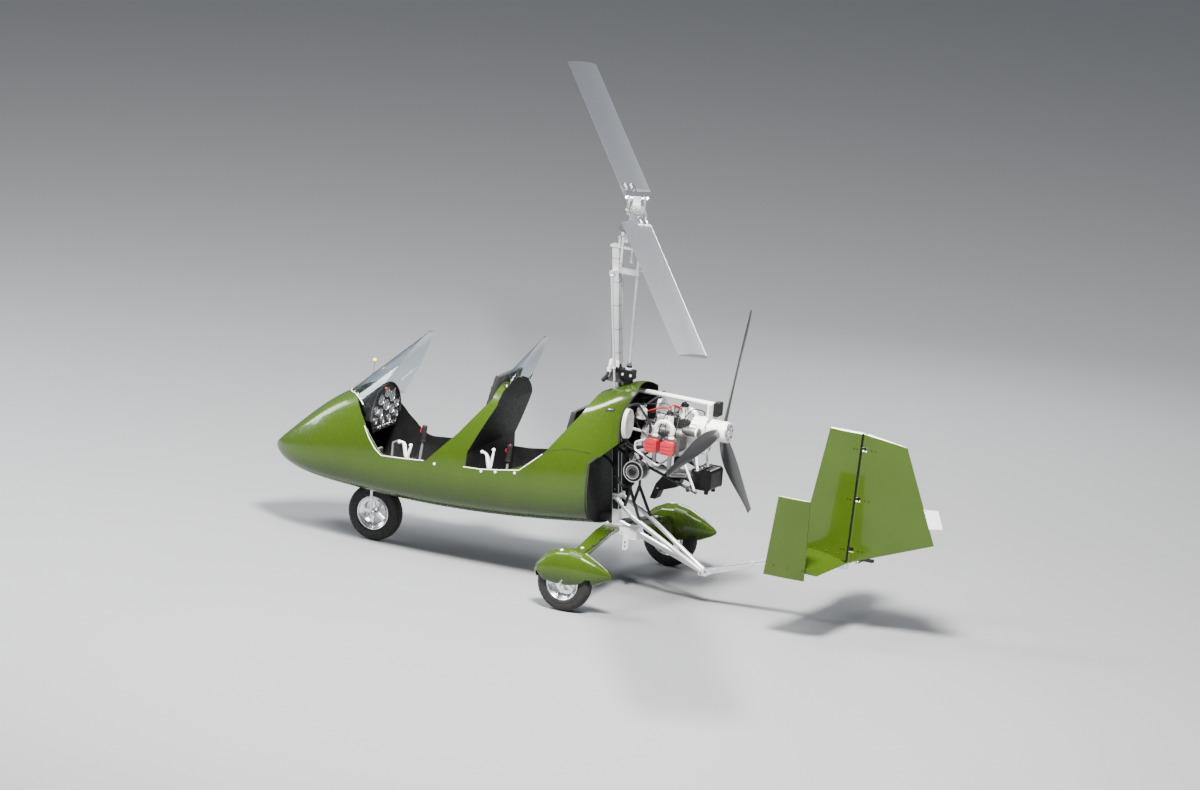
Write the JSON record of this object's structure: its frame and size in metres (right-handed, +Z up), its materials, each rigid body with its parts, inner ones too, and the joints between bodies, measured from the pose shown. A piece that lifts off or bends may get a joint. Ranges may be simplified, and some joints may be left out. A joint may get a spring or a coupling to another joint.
{
  "type": "two-seat gyrocopter",
  "caption": "Open tandem two-seat gyrocopter with a teetering rotor on a mast, a pusher propeller, a twin-boom free tail and a three-wheel landing gear.",
  "frame": {"origin": "centre of the bounding box at ground level, under the middle of the machine's length", "axes": "+X forward to the nose, +Y to the left, +Z up"},
  "size_m": [5.104, 7.2826, 2.788],
  "materials": {
    "green_paint": "gloss gel coat on glass fibre",
    "green_composite": "gloss paint on glass fibre",
    "black_moulding": "matte",
    "black_composite": "satin carbon",
    "seat_cloth": "padded cloth",
    "clear_sheet": "clear",
    "steel_tube": "brushed",
    "cast_alloy": "cast",
    "wheel_alloy": "satin",
    "blade_alloy": "anodised",
    "red_paint": "gloss",
    "black_metal": "satin",
    "tyre_rubber": "rubber"
  },
  "bodies": {
    "airframe": {"hull": "green_paint", "rear_cowl": "green_paint", "nose_wheel_arch": "black_moulding", "seat_bulkhead": "green_paint", "front_seat_base": "seat_cloth", "front_seat_back": "seat_cloth", "rear_seat_base": "seat_cloth", "rear_seat_back": "seat_cloth", "instrument_panel": "black_moulding", "front_windscreen": "clear_sheet", "rear_windscreen": "clear_sheet", "mast": "steel_tube", "keel_tube": "steel_tube", "engine_frame": "steel_tube", "tail_boom": "steel_tube", "steering_head": "steel_tube", "gear_bow": "green_composite", "main_axles": "steel_tube", "left_spat": "green_composite", "right_spat": "green_composite", "fin": "green_composite", "rudder_hinges": "steel_tube", "tailplane": "green_composite", "tip_fins": "green_composite", "crankcase": "cast_alloy", "gearbox": "cast_alloy", "cylinders": "cast_alloy", "rocker_covers": "red_paint", "intake_pipes": "cast_alloy", "silencer": "black_metal", "exhaust_pipes": "black_metal", "engine_mount": "steel_tube", "prerotator_shafts": "steel_tube", "prerotator_boxes": "black_metal", "mast_bracket": "steel_tube", "mast_head": "steel_tube", "firewall": "black_moulding", "seat_boxes": "black_moulding", "cockpit_controls": "steel_tube", "coolant_pipes": "cast_alloy", "coolers": "cast_alloy", "oil_tank": "cast_alloy", "air_duct": "black_moulding"},
    "nose_fork": {"nose_fork": "steel_tube"},
    "nose_wheel": {"nose_tyre": "tyre_rubber", "nose_rim": "wheel_alloy"},
    "left_wheel": {"left_tyre": "tyre_rubber", "left_rim": "wheel_alloy"},
    "right_wheel": {"right_tyre": "tyre_rubber", "right_rim": "wheel_alloy"},
    "rudder": {"rudder": "green_composite", "trim_tab": "wheel_alloy"},
    "propeller": {"propeller_hub": "wheel_alloy", "propeller_blades": "black_composite"},
    "gimbal": {"gimbal_block": "cast_alloy"},
    "rotor_head": {"rotor_head": "steel_tube"},
    "rotor_tower": {"teeter_tower": "cast_alloy", "ring_gear": "black_metal"},
    "rotor": {"hub_bar": "cast_alloy", "rotor_blades": "blade_alloy"}
  },
  "joints": [
    {"name": "nose_steer", "type": "hinge", "parent": "airframe", "child": "nose_fork", "pos_m": [1.797, 0, 0.5], "axis": [0, 0, 1], "range_deg": [-30, 30]},
    {"name": "nose_wheel_spin", "type": "hinge", "parent": "nose_fork", "child": "nose_wheel", "pos_m": [1.765, 0, 0.2], "axis": [0, 1, 0], "continuous": true},
    {"name": "left_wheel_spin", "type": "hinge", "parent": "airframe", "child": "left_wheel", "pos_m": [-0.114, 0.83, 0.2], "axis": [0, 1, 0], "continuous": true},
    {"name": "right_wheel_spin", "type": "hinge", "parent": "airframe", "child": "right_wheel", "pos_m": [-0.114, -0.83, 0.2], "axis": [0, 1, 0], "continuous": true},
    {"name": "rudder_hinge", "type": "hinge", "parent": "airframe", "child": "rudder", "pos_m": [-1.875, 0, 0.51], "axis": [-0.0513, 0, 0.9987], "range_deg": [-28, 28]},
    {"name": "propeller_spin", "type": "hinge", "parent": "airframe", "child": "propeller", "pos_m": [-0.83, 0, 1.245], "axis": [1, 0, 0], "continuous": true},
    {"name": "head_roll", "type": "hinge", "parent": "airframe", "child": "gimbal", "pos_m": [0.008, 0, 2.47], "axis": [1, 0, 0], "range_deg": [-9, 9]},
    {"name": "head_pitch", "type": "hinge", "parent": "gimbal", "child": "rotor_head", "pos_m": [0.008, 0, 2.47], "axis": [0, 1, 0], "range_deg": [-18, 2]},
    {"name": "rotor_spin", "type": "hinge", "parent": "rotor_head", "child": "rotor_tower", "pos_m": [-0.03, 0, 2.6], "axis": [0, 0, 1], "continuous": true},
    {"name": "rotor_teeter", "type": "hinge", "parent": "rotor_tower", "child": "rotor", "pos_m": [-0.03, 0, 2.766], "axis": [-0.848, -0.5299, 0], "range_deg": [-8, 8]}
  ]
}
